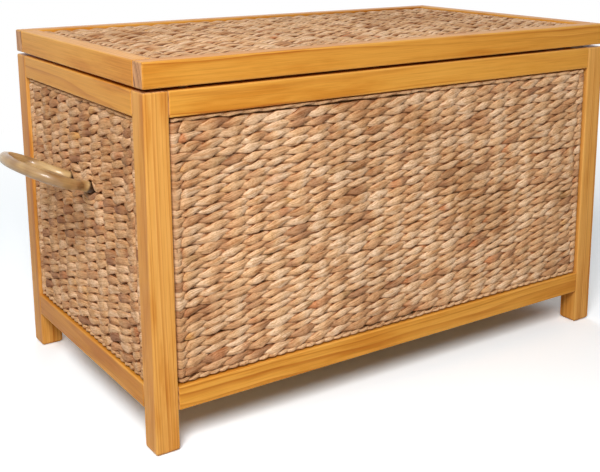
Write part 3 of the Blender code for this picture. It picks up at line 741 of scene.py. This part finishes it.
def caneHandle(name, seed):
    random = np.random.default_rng(seed)
    sizes = caneSizes
    line = caneLine()
    place = np.stack([line[:, 0], -line[:, 1], np.zeros(len(line))], 1)
    ahead = np.gradient(place, axis=0)
    ahead /= np.linalg.norm(ahead, axis=1)[:, None]
    side = np.cross(ahead, (0, 0, 1.0))
    along = np.concatenate([[0], np.cumsum(np.linalg.norm(np.diff(place, axis=0), axis=1))])
    angle = np.arange(sizes["sides"]) / sizes["sides"] * 2 * math.pi
    swell = 1 - sizes["uneven"] * np.clip(np.abs(smoothNoise(random, len(place), 6)), 0, 1)
    for jointAt in sizes["jointsAt"]:
        swell += sizes["jointSwell"] * np.exp(-((along - jointAt) / sizes["jointLength"]) ** 2)
    radius = (sizes["radius"] * np.minimum(swell, 1.0))[:, None, None]
    ring = (place[:, None] + side[:, None] * (np.cos(angle)[None, :, None] * radius)
            + np.array([0, 0, 1.0]) * (np.sin(angle)[None, :, None] * radius))
    mesh = bpy.data.meshes.new(name)
    form = bmesh.new()
    rings = [[form.verts.new(p) for p in each] for each in ring]
    uv = form.loops.layers.uv.new("cane")
    count = sizes["sides"]
    for i in range(len(rings) - 1):
        for j in range(count):
            k = (j + 1) % count
            face = form.faces.new((rings[i][j], rings[i + 1][j], rings[i + 1][k], rings[i][k]))
            face.smooth = True
            for loop, (a, b) in zip(face.loops, ((i, j), (i + 1, j), (i + 1, j + 1), (i, j + 1))):
                loop[uv].uv = (along[a], b / count)
    for end, order in ((rings[0], 1), (rings[-1], -1)):
        form.faces.new(end[::order])
    bmesh.ops.recalc_face_normals(form, faces=form.faces)
    form.to_mesh(mesh)
    form.free()
    made = bpy.data.objects.new(name, mesh)
    scene.collection.objects.link(made)
    return made, float(along[-1])


def caneMaterial(name, look, length, seed):
    made, tree, shader = newMaterial(name)
    uv = addNode(tree, "UVMap", {"uv_map": "cane"}).outputs[0]
    long = noise(tree, moved(tree, uv, location=(seed, 0, 0), scale=look["grain"]), 1.0, 4.0, 0.6)
    patch = noise(tree, moved(tree, uv, location=(seed, 3, 0), scale=look["patches"]), 1.0, 2.0, 0.5)
    tone = ramp(tree, patch, [(0.32, look["dark"]), (0.5, look["mid"]), (0.66, look["pale"])])
    tone = toned(tree, tone, long, [(0.3, look["grainTone"]), (0.52, plain)], look["grainShare"])
    along = addNode(tree, "SeparateXYZ", None, Vector=uv).outputs[0]
    fromEnd = maths(tree, "MINIMUM", along, maths(tree, "SUBTRACT", length, along))
    fromFace = maths(tree, "SUBTRACT", fromEnd, caneSizes["legBehind"])
    # the legs darken into painted shade and dirt where they enter the weave
    tone = mixColour(tree, spread(tree, fromFace, *look["holeShadeEnds"], 1.0, 0.0), tone, look["holeShadeAndDirt"])
    tree.links.new(tone, shader.inputs["Base Color"])
    low, high = look["roughness"]
    tree.links.new(spread(tree, long, 0.3, 0.7, high, low), shader.inputs["Roughness"])
    tree.links.new(bump(tree, long, look["fibreDepth"]), shader.inputs["Normal"])
    shader.inputs["Coat Weight"].default_value = look["coat"]
    shader.inputs["Coat Roughness"].default_value = look["coatRoughness"]
    return made


handlePlaces = {
    "left": {"x": -trunkHalfLength, "turn": -math.pi / 2, "seed": 31, "grainAt": 3.0},
    "right": {"x": trunkHalfLength, "turn": math.pi / 2, "seed": 32, "grainAt": 9.0},
}
for side, place in handlePlaces.items():
    made, length = caneHandle(f"{side}_cane_handle", place["seed"])
    toEnd = Matrix.Translation((place["x"], 0, caneSizes["height"])) @ Matrix.Rotation(place["turn"], 4, "Z")
    made.data.transform(toEnd @ Matrix.Rotation(-caneSizes["tilt"], 4, "X"))
    made.data.materials.append(caneMaterial(f"bent cane {side}", caneLook, length, place["grainAt"]))
    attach(made, "body")
    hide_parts(f"{side}_handle")
print("handles bent")


# hinges, screws and bumpers
steelLook = {
    "bright": srgb(222, 204, 156),
    "dull": srgb(198, 176, 126),
    "stain": srgb(166, 142, 98),
    "patchScale": 160.0,
    "brushing": (60, 2600, 2600),
    "brushDepth": 0.00003,
    "roughness": (0.24, 0.42),
}


def steelMaterial(name, look, seed):
    made, tree, shader = newMaterial(name)
    place = addNode(tree, "TexCoord").outputs["Object"]
    patches = noise(tree, moved(tree, place, location=(seed, 0, 0)), look["patchScale"], 4.0, 0.6)
    brush = noise(tree, moved(tree, place, scale=look["brushing"]), 1.0, 2.0, 0.6)
    tone = ramp(tree, patches, [(0.28, look["stain"]), (0.42, look["dull"]), (0.6, look["bright"])])
    tree.links.new(tone, shader.inputs["Base Color"])
    low, high = look["roughness"]
    tree.links.new(spread(tree, brush, 0.3, 0.7, low, high), shader.inputs["Roughness"])
    tree.links.new(bump(tree, brush, look["brushDepth"]), shader.inputs["Normal"])
    shader.inputs["Metallic"].default_value = 1.0
    return made


steel = steelMaterial("yellow plated steel", steelLook, 4.0)
for side in ("left", "right"):
    for part in ("hinge_body_leaf", "hinge_lid_leaf", "hinge_pin", "hinge_body_screw_1", "hinge_body_screw_2",
                 "hinge_lid_screw_1", "hinge_lid_screw_2"):
        setMaterial(f"{side}_{part}", steel)


rubberLook = {
    "dark": srgb(150, 138, 114),
    "light": srgb(180, 168, 142),
    "hazeScale": 420.0,
    "hazeDepth": 0.00003,
    "roughness": (0.6, 0.75),
    "specular": 0.15,
    "clearness": 0.4,
    "ior": 1.42,
}


def rubberMaterial(name, look):
    made, tree, shader = newMaterial(name)
    place = addNode(tree, "TexCoord").outputs["Object"]
    haze = noise(tree, place, look["hazeScale"], 3.0)
    tree.links.new(ramp(tree, haze, [(0.3, look["dark"]), (0.7, look["light"])]), shader.inputs["Base Color"])
    tree.links.new(spread(tree, haze, 0.3, 0.7, *look["roughness"]), shader.inputs["Roughness"])
    tree.links.new(bump(tree, haze, look["hazeDepth"]), shader.inputs["Normal"])
    shader.inputs["Specular IOR Level"].default_value = look["specular"]
    shader.inputs["Transmission Weight"].default_value = look["clearness"]
    shader.inputs["IOR"].default_value = look["ior"]
    return made


rubber = rubberMaterial("clear rubber", rubberLook)
for side in ("left", "right"):
    setMaterial(f"{side}_lid_bumper", rubber)
print("fittings finished")


# studio
studio = {
    "floorHalf": 14.0,
    "floorTone": (0.60, 0.60, 0.60),
    "floorSeen": (1.24, 1.30, 1.34),     # what the camera sees of it
    "floorMirrored": (1.0, 1.0, 1.0),    # what gloss and glass show of it
    "floorFade": (0.9, 1.9),       # from here on the floor is as white as the backdrop
    "airLow": 0.04,
    "airHigh": 0.32,
    "lamps": {
        "front softbox": {"at": (-1.5, -1.7, 2.0), "aim": (-1.2, -0.5, 0.2), "size": 1.15, "power": 77,
                          "mirrored": True},
        "rear softbox": {"at": (1.2, 3.2, 1.3), "aim": (0, 0, 0.25), "size": 1.6, "power": 45, "mirrored": False},
    },
    "eye": (-0.879, -1.2904, 0.6565),
    "turn": (77.816, 0.010, -34.94),
    "lens": 60.2,
    "sensor": 36.0,
    "shift": (-0.05, -0.16),
    "sight": 60.0,      # how far the camera sees
}


def seenDirectly(tree):
    # first 1 for the camera, then 1 for what gloss and glass show; 0 for the light that falls on the object
    path = addNode(tree, "LightPath").outputs
    return path["Is Camera Ray"], maths(tree, "MAXIMUM", path["Is Glossy Ray"], path["Is Transmission Ray"])


def makeFloor():
    mesh = bpy.data.meshes.new("studio floor")
    form = bmesh.new()
    bmesh.ops.create_grid(form, x_segments=2, y_segments=2, size=studio["floorHalf"])
    form.to_mesh(mesh)
    form.free()
    floor = bpy.data.objects.new("studioFloor", mesh)
    scene.collection.objects.link(floor)
    made = bpy.data.materials.new("pale floor")
    made.use_nodes = True
    tree = made.node_tree
    tree.nodes.remove(tree.nodes["Principled BSDF"])
    byCamera, mirrored = seenDirectly(tree)
    tone = mixColour(tree, mirrored, studio["floorTone"], studio["floorMirrored"])
    tone = mixColour(tree, byCamera, tone, studio["floorSeen"])
    cloth = addNode(tree, "BsdfDiffuse", None, Color=tone)
    glow = addNode(tree, "Emission", None, Color=(1, 1, 1, 1), Strength=1.0)
    place = addNode(tree, "TexCoord").outputs["Object"]
    away = addNode(tree, "VectorMath", {"operation": "LENGTH"}, i0=place).outputs[1]
    seen = maths(tree, "MAXIMUM", byCamera, mirrored)
    far = maths(tree, "MULTIPLY", spread(tree, away, *studio["floorFade"]), seen)
    both = addNode(tree, "MixShader", None, i0=far, i1=cloth.outputs[0], i2=glow.outputs[0])
    tree.links.new(both.outputs[0], tree.nodes["Material Output"].inputs["Surface"])
    mesh.materials.append(made)


def makeWorld():
    world = bpy.data.worlds.new("studio air")
    world.use_nodes = True
    tree = world.node_tree
    background = tree.nodes["Background"]
    background.inputs["Color"].default_value = (1.0, 1.0, 1.0, 1.0)
    direction = addNode(tree, "SeparateXYZ", None, Vector=addNode(tree, "TexCoord").outputs["Generated"]).outputs[2]
    air = spread(tree, direction, 0.0, 1.0, studio["airLow"], studio["airHigh"])
    level = addNode(tree, "MapRange", None, i0=maths(tree, "MAXIMUM", *seenDirectly(tree)), i3=air, i4=1.0).outputs[0]
    tree.links.new(level, background.inputs["Strength"])
    scene.world = world


def makeLamps():
    for name, lamp in studio["lamps"].items():
        light = bpy.data.lights.new(name, "AREA")
        light.shape = "SQUARE"
        light.size = lamp["size"]
        light.energy = lamp["power"]
        made = bpy.data.objects.new(name, light)
        made.location = lamp["at"]
        aim = Vector(lamp["aim"]) - Vector(lamp["at"])
        made.rotation_euler = aim.to_track_quat("-Z", "Y").to_euler()
        made.visible_glossy = lamp["mirrored"]
        scene.collection.objects.link(made)


def makeCamera():
    lens = bpy.data.cameras.new("view")
    lens.lens = studio["lens"]
    lens.sensor_width = studio["sensor"]
    lens.shift_x, lens.shift_y = studio["shift"]
    lens.clip_end = studio["sight"]
    made = bpy.data.objects.new("view", lens)
    made.location = studio["eye"]
    made.rotation_euler = [math.radians(a) for a in studio["turn"]]
    scene.collection.objects.link(made)
    scene.camera = made


makeFloor()
makeWorld()
makeLamps()
makeCamera()
scene.view_settings.view_transform = "Standard"
print("studio set")
